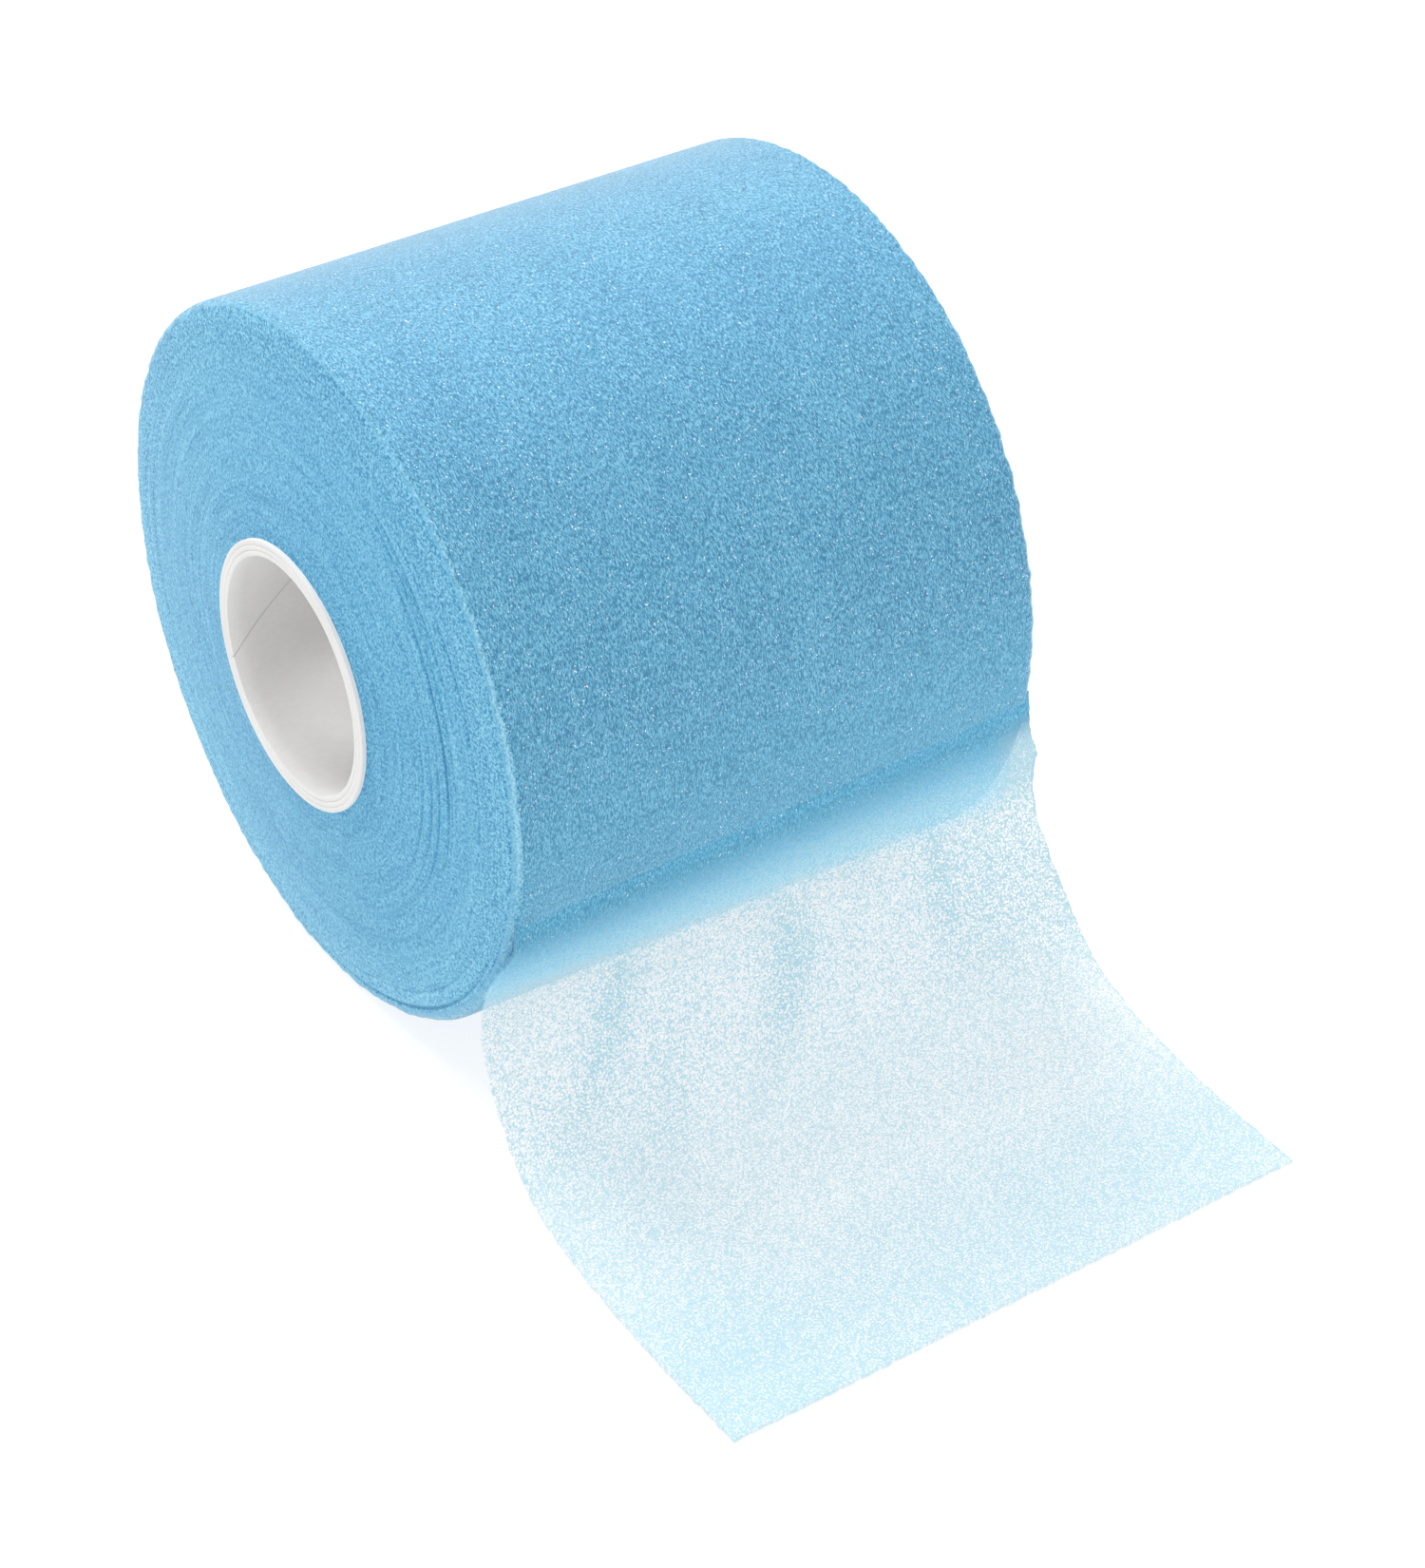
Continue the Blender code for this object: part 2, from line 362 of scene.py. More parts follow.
def sheet_foam():
    """The loose sheet, which can be seen through. Where it still lies on the roll it looks like the
    roll's side, and just below that a soft blue band is painted on it, standing in for the roll and
    its light seen through the sheet."""
    finish = Finish("foam_sheet", SHEET_SURFACE)
    tone, density_and_painted_shade, dots = sheet_net(finish)
    # The painted band is deepest just below the peel line
    near = finish.span(finish.attribute("near"), 0.0, 1.0, 0.30, 0.0)
    band = finish.mix(finish.total(finish.times(tone, 0.45), near), BAND_WALL, BAND_CELL)
    painted_band = finish.attribute("painted_band")
    colour = finish.mix(painted_band, finish.mix(tone, SHEET_WALL, SHEET_CELL), band)
    side_colour, side_height = side_look(finish, finish.place())
    backed = finish.attribute("backed")
    finish.into("Base Color", finish.mix(backed, colour, side_colour))
    thick = finish.total(
        finish.times(density_and_painted_shade, 0.3),
        finish.span(tone, 0.0, 1.0, 0.8, 0.0),
        painted_band,
        finish.times(finish.attribute("free"), 0.42),
    )
    # Only the upper layer has the net: two nets, one behind the other, would run into streaks.
    cover = finish.fade(finish.attribute("upper"), 0.15, finish.span(thick, 0.0, 1.3, 0.26, 0.90))
    finish.into("Alpha", finish.maths("MAXIMUM", cover, backed))
    finish.bump(finish.fade(backed, dots, side_height), 0.35, 0.12 * MM)
    return finish.material


def seam_clear():
    """Where two stretches of the tail join, the walls inside the foam don't show."""
    return Finish("sheet_joins", {"Alpha": 0.0, "Specular IOR Level": 0.0}).material


def core_paper(name, seam):
    """Matt recycled board with faint fibres; the liner shows the spiral joint of its strip."""
    finish = Finish(name, {"Roughness": 0.82, "Specular IOR Level": 0.3})
    place = finish.place()
    fibres = finish.cloud(finish.in_cells(place, FIBRE_CELL), detail=4.0, roughness=0.7)
    mottle = finish.cloud(place, scale=0.12)
    shade = finish.total(*(finish.span(look, 0.3, 0.7, -0.5, 0.5) for look in (fibres, mottle)))
    lighter, darker = (tuple(c * share for c in PAPER) for share in (1.05, 0.96))
    colour = finish.mix(finish.span(shade, -0.8, 0.8), darker, lighter)
    height = finish.times(fibres, 0.15)
    if seam:
        line = seam_line(finish, place)
        colour = finish.mix(finish.times(line, 0.7), colour, PAPER_SEAM)
        height = finish.total(height, finish.times(line, -0.5))
    finish.into("Base Color", colour)
    finish.bump(height, 0.5, 0.10 * MM)
    return finish.material


def seam_line(finish, place):
    """1 on the spiral joint of the liner's strip, and 0 away from it."""
    x, y, z = finish.node("SeparateXYZ", {0: place}).outputs
    angle = finish.maths("ARCTAN2", z, finish.times(y, -1.0))
    turn = finish.maths("DIVIDE", angle, 2 * math.pi)
    spiral = finish.maths("DIVIDE", finish.maths("SUBTRACT", x, SEAM_START), SEAM_LEAD)
    phase = finish.total(finish.maths("SUBTRACT", turn, SEAM_START_TURN), spiral)
    part_turn = finish.maths("FRACT", finish.total(phase, 0.5))
    away = finish.maths("ABSOLUTE", finish.total(part_turn, -0.5))
    away_mm = finish.times(away, 2 * math.pi * BORE_RADIUS / MM)
    return finish.span(away_mm, SEAM_WIDTH * 0.5, SEAM_WIDTH * 1.5, 1.0, 0.0)


# ---------------------------------------------------------------- meshes


def smooth(t):
    """0 below 0 and 1 above 1, with a soft rise between them."""
    t = np.clip(t, 0.0, 1.0)
    return t * t * (3 - 2 * t)


def onset(value, start, reach):
    """0 up to the start, then a soft rise to 1 over the reach."""
    return smooth((value - start) / reach)


def ridge_at(value, width):
    return np.exp(-((value / width) ** 2))


def rough(*place):
    return noise.noise(Vector(place))


def add_piece(name, points, faces, materials, body=None):
    mesh = bpy.data.meshes.new(name)
    mesh.from_pydata(np.asarray(points, float).reshape(-1, 3).tolist(), [], faces)
    mesh.update()
    mesh.shade_smooth()
    for material in materials:
        mesh.materials.append(material)
    mesh.set_sharp_from_angle(angle=math.radians(50))
    piece = bpy.data.objects.new(name, mesh)
    bpy.context.scene.collection.objects.link(piece)
    if body:
        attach(piece, body)
    return piece


def point_value(piece, name, values):
    layer = piece.data.attributes.new(name, "FLOAT", "POINT")
    layer.data.foreach_set("value", np.asarray(values, np.float32).ravel())


def swept(name, radius, along, materials, body):
    """A closed ring round the roll's axis. radius and along are arrays of (angle steps, outline
    points), and the outline runs round its section."""
    steps, count = radius.shape
    angles = angles_of(steps)
    y = CENTRE.y - radius * np.cos(angles)
    z = np.maximum(CENTRE.z + radius * np.sin(angles), 0.0)
    points = np.stack([along, y, z], axis=-1)
    index = np.arange(steps * count).reshape(steps, count)
    after, right = np.roll(index, -1, axis=0), np.roll(index, -1, axis=1)
    corner = np.roll(after, -1, axis=1)
    faces = np.stack([index, right, corner, after], axis=-1).reshape(-1, 4)
    return add_piece(name, points, faces.tolist(), materials, body)


def angles_of(steps):
    return np.arange(steps)[:, None] * (2 * math.pi / steps)


def half_width(radius):
    """Half the tape's width where it is wound at this radius."""
    outward = (radius - CORE_RADIUS) / (OUTER_RADIUS - CORE_RADIUS)
    return HUB_HALF_WIDTH + (RIM_HALF_WIDTH - HUB_HALF_WIDTH) * outward


def slow_rings(ring_count, steps, strength, waves=4, passes=1):
    """Uneven heights that change from ring to ring and drift slowly round the roll."""
    angles = angles_of(steps)
    total = np.zeros((steps, ring_count))
    for wave in range(waves):
        height = RANDOM.normal(size=ring_count)
        phase = RANDOM.uniform(0, 2 * math.pi, ring_count)
        for _ in range(passes):
            height = (np.roll(height, 1) + height + np.roll(height, -1)) / 3
        total += height * np.cos(wave * angles + phase * min(wave, 1))
    return total * strength / waves**0.5


# Loose turns that show as thin dark lines, dips painted dark as shade, on the left face, and
# mirrored on the right one:
# (radius in mm at the middle, how fast it grows away from it, half width in mm, depth,
# the middle's angle, how far it reaches in degrees)
GAPS = (
    (28.45, 1.3, 0.13, 1.00, 20, 30),
    (29.8, 1.5, 0.11, 0.60, 30, 26),
    (31.2, 0.9, 0.11, 0.50, 38, 26),
    (26.9, 0.7, 0.11, 0.50, 0, 34),
    (25.6, 0.7, 0.10, 0.38, -5, 34),
    (24.2, 0.5, 0.10, 0.30, -10, 30),
    (33.4, 0.5, 0.13, 0.42, 22, 30),
    (37.55, 0.0, 0.16, 0.80, -58, 30),
    (35.6, 0.4, 0.12, 0.35, -50, 26),
)
GAP_DEPTH = 0.4 * MM
RIGHT_FACE_TURN = 205  # degrees: a gap at this angle minus its own lies on the right face
RING_GAP = 0.005 * MM  # between the wound turns and the outer turns


def gap_map(radius, angles, mirrored):
    """How much of a gap between turns is at each angle and radius."""
    gap = np.zeros((len(angles), len(radius)))
    for start, growth, width, depth, middle, reach in GAPS:
        if mirrored:
            middle = RIGHT_FACE_TURN - middle
        swing = np.degrees(np.angle(np.exp(1j * (angles - math.radians(middle)))))
        line = (start + growth * (0.5 * (swing / 40.0) ** 2 + 0.009 * swing)) * MM
        found = depth * ridge_at(swing, reach) * ridge_at(radius - line, width * MM)
        gap = np.maximum(gap, found)
    return gap


def make_windings(material):
    """The wound turns, whose edges make the two slightly coned faces of the roll."""
    steps, rings = 360, 128
    inner, outer = CORE_RADIUS + RING_GAP, OUTER_TURNS_INNER - RING_GAP
    radius = np.linspace(inner, outer, rings)
    from_core = np.clip((radius - inner) / (1.2 * MM), 0, 1)
    from_rim = np.clip((outer - radius) / (1.0 * MM), 0, 1)
    faces = []
    gaps = []
    for side in (1, -1):
        relief = slow_rings(rings, steps, 0.020 * MM)
        relief = relief + slow_rings(rings, steps, 0.07 * MM, passes=8)
        gap = gap_map(radius, angles_of(steps), mirrored=side == 1)
        faces.append(side * (half_width(radius) + relief * from_core * from_rim - gap * GAP_DEPTH))
        gaps.append(gap)
    right, left = faces
    out_and_back = np.broadcast_to(np.concatenate([radius, radius[::-1]]), (steps, 2 * rings))
    along = np.concatenate([left, right[:, ::-1]], axis=1)
    piece = swept("wound_turns", out_and_back, along, [material], "wound_roll")
    point_value(piece, "gap", np.concatenate([gaps[1], gaps[0][:, ::-1]], axis=1))
    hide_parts("tape_windings")


def outer_section(face_share, bend, low_front, across):
    """(radius, place along the axis) of the outer turns' section at each angle: down the right
    face's edge, round the rim, along the side, and up the left face's edge."""
    steps = len(low_front)
    rounding = (0.70 + 0.70 * low_front**2) * MM
    raggedness = 0.09 * MM
    face_radius = OUTER_TURNS_INNER + face_share * (OUTER_RADIUS - rounding - OUTER_TURNS_INNER)
    bend_radius = OUTER_RADIUS - rounding * (1 - np.sin(bend))
    halves = []
    for _ in range(2):
        ragged = RANDOM.normal(size=(steps, 1))
        beside = np.roll(ragged, 1, axis=0), np.roll(ragged, -1, axis=0)
        ragged = (0.5 * beside[0] + ragged + 0.5 * beside[1]) / 1.5
        inward = rounding * (1 - np.cos(bend))
        bend_along = RIM_HALF_WIDTH - inward + raggedness * ragged * np.sin(2 * bend)
        halves.append(np.concatenate([half_width(face_radius), bend_along], axis=1))
    half_radius = np.concatenate([face_radius, bend_radius], axis=1)
    run = np.linspace(1, -1, across)[None, 1:-1] * (RIM_HALF_WIDTH - rounding)
    side_radius = np.full(run.shape, OUTER_RADIUS)
    radius = np.concatenate([half_radius, side_radius, half_radius[:, ::-1]], axis=1)
    along = np.concatenate([halves[0], run, -halves[1][:, ::-1]], axis=1)
    return radius, along


def paint_rims(piece, shape, first, bend, angles, low_front):
    """Where the rim has the face's colours, and how bright its painted highlight line is: brightest
    low at the front, and fainter again below the line where the tail leaves."""
    upward = np.degrees(np.angle(np.exp(1j * angles)))
    uncovered = 1 - 0.6 * np.clip((2 - upward) / 12, 0, 1)
    painted_rim_highlight = ridge_at(bend - 0.75, 0.30) * (0.05 + 1.35 * low_front * uncovered)
    face_edge = np.broadcast_to(1 - smooth(bend / 1.2), painted_rim_highlight.shape)
    count = bend.shape[1]
    for name, values in (("rim", painted_rim_highlight), ("edge", face_edge)):
        shares = np.zeros(shape)
        shares[:, first : first + count] = values
        shares[:, -first - count : -first] = values[:, ::-1]
        point_value(piece, name, shares[:, ::-1])


def make_outer_turns(side_material, face_material):
    """The outermost turns: the roll's side with its crepe surface and soft, slightly ragged rims."""
    steps, across, bend_points, face_points = 600, 132, 8, 3
    angles = angles_of(steps)
    low_front = 0.5 + 0.5 * np.cos(angles + math.radians(45))
    bend = np.linspace(0, math.pi / 2, bend_points)[None, :]
    face_share = np.linspace(0, 1, face_points)[None, :-1]
    radius, along = outer_section(face_share, bend, low_front, across)
    radius = radius - unevenness(angles, along, radius)
    materials = [side_material, face_material]
    piece = swept("outer_turns", radius[:, ::-1], along[:, ::-1], materials, "outer_turns")
    first, columns = face_points - 1, radius.shape[1]
    paint_rims(piece, radius.shape, first, bend, angles, low_front)
    for polygon in piece.data.polygons:
        column = polygon.index % columns
        if column < first or column >= columns - 1 - first:
            polygon.material_index = 1
    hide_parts("tape_outer_turns")


def unevenness(angles, along, radius):
    """How far the hand-soft surface falls below the true cylinder."""
    turn = [np.broadcast_to(trig(angles) * OUTER_RADIUS, along.shape) for trig in (np.cos, np.sin)]
    places = np.stack([along, *turn], axis=-1).reshape(-1, 3)
    lumps = np.array([rough(*p) for p in places / (15 * MM)]).reshape(along.shape)
    grain = np.array([rough(*p) for p in places / (0.7 * MM)]).reshape(along.shape)
    on_side = np.clip((radius - OUTER_TURNS_INNER) / (1.0 * MM), 0, 1)
    return ((lumps + 1) * 0.08 * MM + (grain + 1) * 0.028 * MM) * on_side


def make_core():
    """Three plies of paper, each a thin tube with softly worn ends."""
    steps, lengthwise = 256, 40
    hairline = 0.01 * MM
    worn = 0.03 * MM
    waviness = 0.02 * MM
    half = CORE_HALF_LENGTH
    ply = (CORE_RADIUS - BORE_RADIUS - 2 * hairline) / 3
    run = np.linspace(-(half - worn), half - worn, lengthwise)
    along = np.concatenate([run[::-1], [-half, -half], run, [half, half]])
    for index, node in enumerate(("core_liner_ply", "core_board_ply", "core_cover_ply")):
        inner = BORE_RADIUS + index * (ply + hairline)
        outer = inner + ply
        end = [outer - worn, inner + worn]
        walls = np.full(lengthwise, outer), np.full(lengthwise, inner)
        radius = np.concatenate([walls[0], end, walls[1], end[::-1]])
        wave = np.cos(2 * angles_of(steps) + index) * (np.abs(along) / half) ** 4
        radius = radius + waviness * wave
        paper = core_paper(node.replace("ply", "paper"), seam=index == 0)
        rows = np.broadcast_to(along, radius.shape)
        piece = swept(node.replace("_ply", ""), radius, rows, [paper], "wound_roll")
        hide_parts(node)


def bezier(points, t):
    a, b, c, d = points
    s = 1.0 - t
    return a * s**3 + b * (3 * s * s * t) + c * (3 * s * t * t) + d * t**3


def on_roll(angle, height):
    """A point this far above the roll's side, at an angle below the horizontal."""
    radius = OUTER_RADIUS + height
    down = CENTRE.z - radius * math.sin(angle)
    return Vector((0.0, CENTRE.y - radius * math.cos(angle), down))


def tail_course(course, side):
    """The tail's middle surface: course is below 0 on the roll, 0 at the peel line, 1 at the
    knee and 2 at the end. side is -1 at the left edge and 1 at the right edge."""
    peel = PEEL_ANGLE - PEEL_SKEW * side
    lifted = SHEET_LIFT + SHEET / 2
    knee = KNEE + Vector((0.0, 0.0, KNEE_TILT * side))
    falling = Vector((0.0, -math.sin(KNEE_SLOPE), -math.cos(KNEE_SLOPE)))
    if course <= 0.0:
        back = -course / LEAD_COURSE
        height = (lifted + LEAD_SUNK) * (1 - smooth(back)) - LEAD_SUNK
        place = on_roll(peel - back * LEAD_IN / OUTER_RADIUS, height)
    elif course <= 1.0:
        start = on_roll(peel, lifted)
        leaving = Vector((0.0, math.sin(peel), -math.cos(peel)))
        above = knee - falling * KNEE_HANDLE_ABOVE
        place = bezier((start, start + leaving * PEEL_HANDLE, above, knee), course)
    else:
        below = knee + falling * KNEE_HANDLE_BELOW
        below.z = max(below.z, LAID_Z)
        end = Vector((0.0, END_Y + END_SKEW * side, LAID_Z))
        place = bezier((knee, below, end + Vector((0.0, END_HANDLE, 0.0)), end), course - 1.0)
    along = max(0.0, course) / 2.0
    widening = min(1.0, max(0.0, course))
    half = PEEL_HALF_WIDTH + (END_HALF_WIDTH - PEEL_HALF_WIDTH) * widening
    half += (RIM_HALF_WIDTH - RIM_MARGIN - half) * (1 - onset(course, -0.06, 0.26))
    drift = END_OFFSET * along * along * (3.0 - 2.0 * along)
    place.x = drift + half * side
    return place


# Soft folds that run down from the peel line. With t as the course counted from FOLD_COURSE,
# each is at side = centre + slant * t + bow * t * t:
# (middle course, reach, centre, slant, bow, height in mm, half width, strength)
FOLDS = (
    (0.62, 0.30, -0.54, -0.28, -0.90, 0.40, 0.060, 0.75),
    (0.72, 0.30, 0.07, 0.00, -0.85, 0.38, 0.065, 0.75),
    (0.60, 0.26, 0.61, 0.08, -0.30, 0.26, 0.050, 0.50),
    (0.50, 0.18, 0.34, -0.10, -0.30, 0.20, 0.045, 0.30),
    (1.00, 0.24, -0.36, -0.30, 0.00, 0.18, 0.070, 0.25),
)
FOLD_COURSE = 0.6


def fold_at(course, side):
    """(height, density) of the soft folds here."""
    height = density = 0.0
    along = course - FOLD_COURSE
    for middle, reach, centre, slant, bow, rise, width, strength in FOLDS:
        wander = 0.03 * rough(course * 6, centre * 9, 4.0)
        away = side - centre - slant * along - bow * along * along - wander
        there = ridge_at(course - middle, reach)
        height += rise * MM * there * ridge_at(away, width)
        gathered = strength * there * ridge_at(away, 1.2 * width)
        density += gathered * (1 + 0.6 * rough(course * 14, side * 22, 5.0))
    return height, min(1.0, max(0.0, density))


def edge_stray(length, side):
    """How far the sheet's edge strays outwards here, as a share of its half width."""
    coarse = 0.16 * rough(length / (0.9 * MM), side * 9, 0.5)
    fine = 0.10 * rough(length / (0.35 * MM), side * 9, 3.0)
    return (coarse + fine) * MM / END_HALF_WIDTH * abs(side) ** 12


def tail_surface(course, side, length):
    """(place, lift) of the sheet: its middle surface with ragged edges, and how far the folds,
    slack and crinkles lift it off that."""
    place = tail_course(course, side * (1 + edge_stray(length, side)))
    on_table = onset(course, 0.9, 0.4)
    free = onset(course, 0.05, 0.3)
    slack = rough(place.x / (17 * MM), length / (15 * MM), 1.0) * 0.45 * MM
    crinkle = rough(place.x / (3.2 * MM), length / (4.0 * MM), 2.0) * 0.09 * MM
    lift = fold_at(course, side)[0] * free + (slack + crinkle) * free * (1 - 0.75 * on_table)
    if course > 1.9:
        coarse = 0.20 * rough(place.x / (1.1 * MM), 7.0, 0.0)
        fine = 0.14 * rough(place.x / (0.4 * MM), 3.0, 0.0)
        place.y -= (coarse + fine) * MM * ((course - 1.9) / 0.1)
    return place, lift


def course_table(first, last, spacing):
    """Course values about spacing apart along the tail's middle line, and the length at each."""
    fine = np.linspace(-LEAD_COURSE, 2.0, 900)
    line = np.array([tail_course(c, 0.0) for c in fine])
    steps = np.linalg.norm(np.diff(line, axis=0), axis=1)
    lengths = np.concatenate([[0], np.cumsum(steps)])
    low, high = np.interp([first, last], fine, lengths)
    count = max(4, round((high - low) / spacing) + 1)
    wanted = np.linspace(low, high, count)
    courses = np.interp(wanted, lengths, fine)
    courses[0], courses[-1] = first, last
    return courses, wanted


def one_more_each_way(values):
    before, after = 2 * values[0] - values[1], 2 * values[-1] - values[-2]
    return np.concatenate([[before], values, [after]])


def sheet_rows(courses, lengths, sides):
    """(middle surface, lifts) of a stretch of the tail, with one more row past each end, so
    that its slope there is the next stretch's too."""
    middle = np.zeros((len(courses) + 2, len(sides), 3))
    lifts = np.zeros((len(courses) + 2, len(sides)))
    widened = one_more_each_way(courses)
    for row, (course, length) in enumerate(zip(widened, one_more_each_way(lengths))):
        inside = min(2.0, max(-LEAD_COURSE, course))
        for column, side in enumerate(sides):
            place, lifts[row, column] = tail_surface(inside, side, length)
            if course != inside:
                mirrored = tail_course(2 * inside - course, side)
                place = place + (tail_course(inside, side) - mirrored)
            middle[row, column] = place
    return middle, lifts


def normals_of(surface):
    down = np.gradient(surface, axis=0)
    over = np.gradient(surface, axis=1)
    normal = np.cross(over, down)
    return normal / np.linalg.norm(normal, axis=2, keepdims=True)


def sheet_grid(courses, lengths, sides):
    """(surface, normals) of a stretch of the tail, the normals pointing up and out."""
    middle, lifts = sheet_rows(courses, lengths, sides)
    normal = normals_of(middle)
    if (normal[:, :, 1:2] * -0.3 + normal[:, :, 2:3]).mean() < 0:
        normal = -normal
    surface = middle + normal * lifts[:, :, None]
    tilted = normals_of(surface)
    tilted *= np.sign((tilted * normal).sum(axis=2, keepdims=True))
    return surface[1:-1], tilted[1:-1]


def two_layers(courses, surface, normal):
    """The sheet's top and bottom points: it thins to a tenth where it starts on the roll."""
    thick = SHEET * (1 - 0.9 * smooth(-courses / LEAD_COURSE))[:, None, None]
    top = surface + normal * thick / 2
    bottom = surface - normal * thick / 2
    top[:, :, 2] = np.maximum(top[:, :, 2], TOP_LOWEST)
    bottom[:, :, 2] = np.maximum(bottom[:, :, 2], BOTTOM_LOWEST)
    return top, bottom


def closed_faces(rows, across, flipped):
    """The faces of a top layer, the layer beneath it, and the walls round them both."""
    index = np.arange(rows * across).reshape(rows, across)
    beneath = rows * across
    corners = [index[:-1, :-1], index[1:, :-1], index[1:, 1:], index[:-1, 1:]]
    layer = np.stack(corners, axis=-1).reshape(-1, 4)
    loop = np.concatenate([index[0], index[1:, -1], index[-1, -2::-1], index[-2:0:-1, 0]])
    after = np.roll(loop, -1)
    walls = np.stack([loop, after, after + beneath, loop + beneath], axis=-1)
    if flipped:
        layer = layer[:, ::-1]
    else:
        walls = walls[:, ::-1]
    return np.concatenate([layer, layer[:, ::-1] + beneath, walls]).tolist()


def make_sheet(name, first, last, node, materials):
    """One stretch of the tail from one course value to another."""
    courses, lengths = course_table(first, last, SHEET_MESH)
    sides = np.linspace(-1, 1, SHEET_ACROSS)
    surface, normal = sheet_grid(courses, lengths, sides)
    top, bottom = two_layers(courses, surface, normal)
    facing = np.cross(top[1, 0] - top[0, 0], top[0, 1] - top[0, 0]) @ normal[0, 0]
    faces = closed_faces(len(courses), len(sides), flipped=facing < 0)
    piece = add_piece(name, np.stack([top, bottom]), faces, materials)
    hide_join_walls(piece, len(courses), len(sides), first, last)
    keep_rims_sharp(piece, len(courses) * len(sides))
    lay_flat(piece, lengths, sides)
    paint_sheet(piece, courses, sides)
    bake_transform(piece)
    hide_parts(node)


def hide_join_walls(piece, rows, across, first, last):
    """The walls where two stretches meet get the clear material; the tail's own cut end keeps
    its foam."""
    layers = 2 * (rows - 1) * (across - 1)
    start = range(layers, layers + across - 1)
    back = layers + across - 1 + rows - 1
    end = range(back, back + across - 1)
    hidden = [*start] if first > -LEAD_COURSE else []
    hidden += [*end] if last < 2.0 else []
    for polygon in hidden:
        piece.data.polygons[polygon].material_index = 1


def keep_rims_sharp(piece, layer_count):
    """Keeps each layer's shading free of the walls round it, whose faces span both layers."""
    walls = [p for p in piece.data.polygons if min(p.vertices) < layer_count <= max(p.vertices)]
    keys = {key for face in walls for key in face.edge_keys}
    rims = {key for key in keys if (key[0] < layer_count) == (key[1] < layer_count)}
    sharp = piece.data.attributes.new("sharp_edge", "BOOLEAN", "EDGE")
    sharp.data.foreach_set("value", [edge.key in rims for edge in piece.data.edges])


def lay_flat(piece, lengths, sides):
    """Gives each point its place on the flat tape, in metres, as the map named flat."""
    flat = np.stack(np.meshgrid(lengths, sides * TAPE_WIDTH / 2, indexing="ij"), axis=-1)
    flat = np.stack([flat, flat]).reshape(-1, 2)
    layer = piece.data.uv_layers.new(name="flat")
    corners = np.zeros(len(piece.data.loops), np.int32)
    piece.data.loops.foreach_get("vertex_index", corners)
    layer.data.foreach_set("uv", flat[corners].astype(np.float32).ravel())


def paint_sheet(piece, courses, sides):
    """The shares that the sheet's material goes by: fold is where the net is closer set along the
    folds, and also darker and denser as painted shade towards the cut end, along the right side and
    at the left end; backed is on the roll, near is just below it, the painted blue band stands in
    for the roll seen through the sheet, and free hangs in the air, where the sheet is painted
    lighter."""
    c, s = courses[:, None], sides[None, :]
    density_and_painted_shade = np.array([[fold_at(course, side)[1] for side in sides] for course in courses])
    # The folds' density sets in below the peel line. On top of it, painted shade: the net is painted
    # darker and denser towards the cut end, along the right side and at the left end, where more
    # light reaches it; it is also denser in the top right corner
    density_and_painted_shade = density_and_painted_shade * onset(c, 0.1, 0.35) + 0.40 * onset(c, 1.55, 0.35)
    density_and_painted_shade = density_and_painted_shade + 0.60 * onset(s, 0.75, 0.15) * (1 - onset(c, 0.25, 0.2))
    density_and_painted_shade = density_and_painted_shade + 0.35 * onset(s, 0.35, 0.40) * (1 - onset(c, 0.9, 0.5))
    density_and_painted_shade = density_and_painted_shade + 0.25 * onset(-s, 0.35, 0.45) * onset(c, 0.7, 0.4)
    shares = {
        "fold": density_and_painted_shade,
        "backed": 1 - onset(c, -0.16, 0.30),
        "near": 1 - onset(c, 0.0, 0.28),
        # The painted blue band where the roll lies behind the sheet, fading out to the right where
        # the roll's rim ends
        "painted_band": (1 - onset(c - 0.08 * s, 0.25, 0.22)) * (1 - 0.85 * onset(s, 0.80, 0.15)),
        "free": onset(c, 0.2, 0.2) * (1 - onset(c, 0.8, 0.5)),
    }
    for name, share in shares.items():
        point_value(piece, name, [np.broadcast_to(share, density_and_painted_shade.shape)] * 2)
    point_value(piece, "upper", [np.ones(density_and_painted_shade.shape), np.zeros(density_and_painted_shade.shape)])


def bend_at(name, before, after):
    """Where a fold over a joint starts and ends: this far before and after it, along the sheet."""
    place = Vector(joint(name)["pos_m"])
    axis = Vector(joint(name)["axis"])
    courses = np.linspace(0.0, 2.0, 400)
    nearest = min(courses, key=lambda c: (tail_course(c, 0.0) - place).length)
    low, high = max(0.0, nearest - 0.02), min(2.0, nearest + 0.02)
    ahead = tail_course(high, 0.0) - tail_course(low, 0.0)
    ahead = (ahead - axis * ahead.dot(axis)).normalized()
    return place - ahead * before, place + ahead * after


def middle_of(node):
    """The course value at the middle of a CAD panel."""
    low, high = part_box(node)
    centre = (low + high) / 2
    courses = np.linspace(0.0, 2.0, 800)
    return float(min(courses, key=lambda c: (tail_course(c, 0.0) - centre).length))


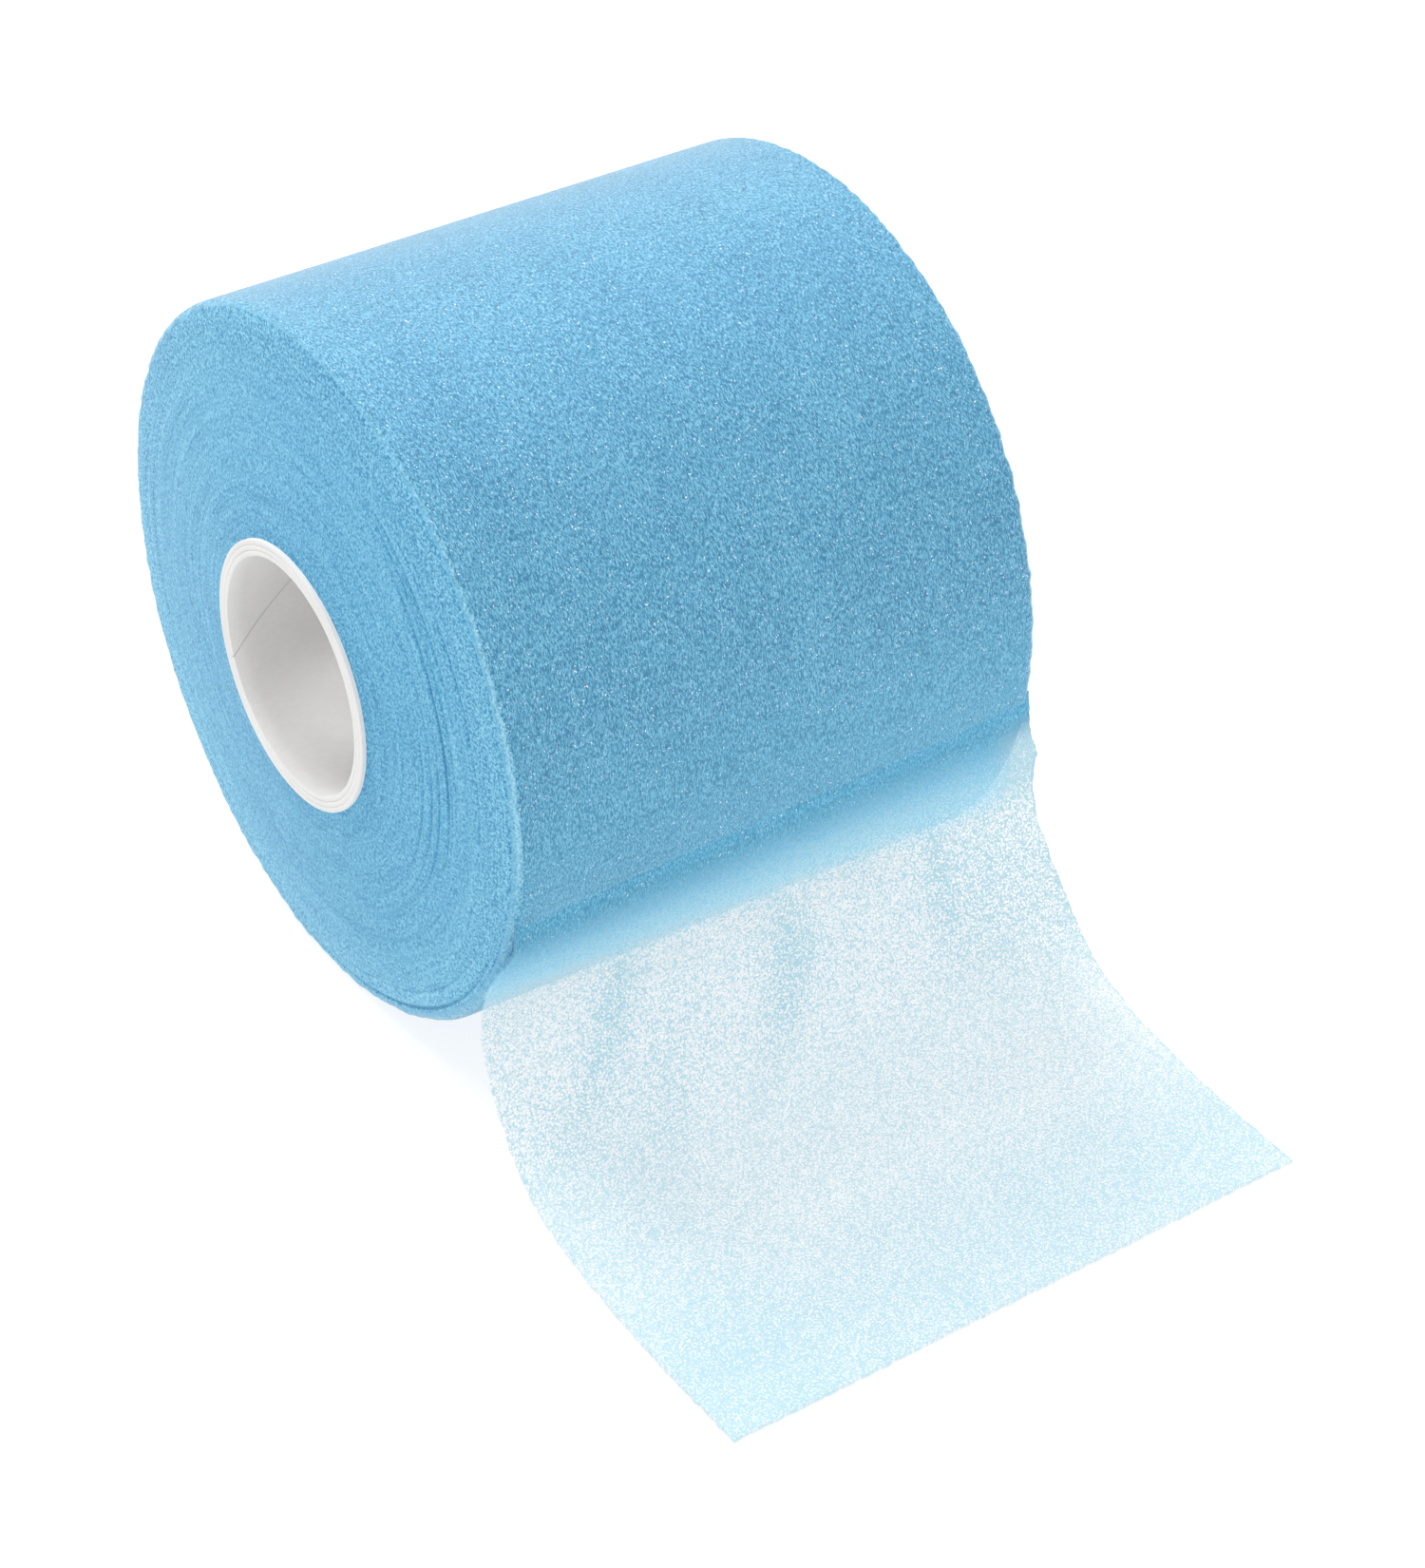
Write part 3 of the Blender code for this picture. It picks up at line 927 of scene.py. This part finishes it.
def make_tail():
    """The loose tail in four stretches. They meet where both follow one panel, and each stretch
    starts on the one before it."""
    materials = [sheet_foam(), seam_clear()]
    bodies = ("outer_turns", "tail_drop", "tail_knee", "tail_laid", "tail_end")
    drop, knee, laid = (middle_of(body + "_panel") for body in bodies[1:4])
    stretches = (
        ("tail_peel", -LEAD_COURSE, drop, "tail_pull", 0.0, 4.5 * MM, "hung"),
        ("tail_drop", drop, knee, "knee_straighten", 4.0 * MM, 4.0 * MM, "hung"),
        ("tail_slope", knee, laid, "laid_straighten", 5.0 * MM, 5.0 * MM, "draped"),
        ("tail_end", laid, 2.0, "end_fold", 1.5 * MM, 6.0 * MM, "laid"),
    )
    for index, (name, first, last, hinge, before, after, held) in enumerate(stretches):
        pair = bodies[index : index + 2]
        bend = bend_at(hinge, before, after)
        node = pair[1] + "_panel"
        make_sheet(name, first, last, node, materials)


# ---------------------------------------------------------------- stage, light and camera


def make_floor():
    """A white sheet that also glows, as a light table does."""
    constants = {"Roughness": 0.6, "Specular IOR Level": 0.2, "Emission Strength": 0.80}
    finish = Finish("studio_floor", constants)
    finish.into("Base Color", (*FLOOR, 1.0))
    finish.into("Emission Color", (*WHITE, 1.0))
    reach = 3.0
    corners = [(-reach, -reach, 0), (reach, -reach, 0), (reach, reach, 0), (-reach, reach, 0)]
    floor = add_piece("studio_floor", corners, [(0, 1, 2, 3)], [finish.material])


def aim(obj, target):
    obj.rotation_euler = (Vector(target) - obj.location).to_track_quat("-Z", "Y").to_euler()


def make_light(name, kind, place, target, power):
    lamp = bpy.data.lights.new(name, kind)
    lamp.energy = power
    light = bpy.data.objects.new(name, lamp)
    light.location = place
    bpy.context.scene.collection.objects.link(light)
    aim(light, target)
    return lamp


def make_softbox(name, place, size, power):
    lamp = make_light(name, "AREA", place, CENTRE, power)
    lamp.shape = "DISK"
    lamp.size = size


def make_beam():
    """A narrow soft beam into the core's left end, which keeps the bore as light as the paper
    round it."""
    opening = Vector((-CORE_HALF_LENGTH, CENTRE.y, CENTRE.z))
    place = opening + Vector((-0.56, -0.25, 0.52))
    lamp = make_light("into_core", "SPOT", place, opening, 11.8)
    lamp.spot_size = math.radians(1.36)
    lamp.spot_blend = 1.0
    lamp.shadow_soft_size = 2 * MM


def make_lighting():
    world = bpy.data.worlds.new("studio")
    bpy.context.scene.world = world
    world.use_nodes = True
    background = world.node_tree.nodes["Background"]
    background.inputs["Color"].default_value = (*WHITE, 1.0)
    background.inputs["Strength"].default_value = 0.66
    make_softbox("behind", (-0.03, 0.84, 1.07), 1.0, 15.0)
    make_softbox("overhead", (0.10, -0.50, 1.15), 0.9, 5.3)
    make_softbox("left", (-1.20, -0.30, 0.35), 0.7, 1.0)
    make_softbox("front", (1.05, -0.95, 0.25), 0.8, 1.5)
    make_beam()
    bpy.context.scene.view_settings.view_transform = "Standard"


def make_camera():
    """At the height and side of the roll that show its left face, its top and the whole tail."""
    azimuth, elevation, distance = math.radians(-33.89), math.radians(35.57), 0.488
    target = Vector((5.5, -18.0, 20.1)) * MM
    level = math.cos(elevation)
    back = Vector((math.sin(azimuth) * level, -math.cos(azimuth) * level, math.sin(elevation)))
    lens = bpy.data.cameras.new("camera")
    lens.lens = 104.7
    lens.clip_start = 0.01
    camera = bpy.data.objects.new("camera", lens)
    camera.location = target + back * distance
    camera.rotation_euler = (-back).to_track_quat("-Z", "Y").to_euler()
    bpy.context.scene.collection.objects.link(camera)
    bpy.context.scene.camera = camera


make_camera()
make_lighting()
make_floor()
make_core()
edge_foam = face_foam()
make_windings(edge_foam)
make_outer_turns(side_foam(), edge_foam)
make_tail()
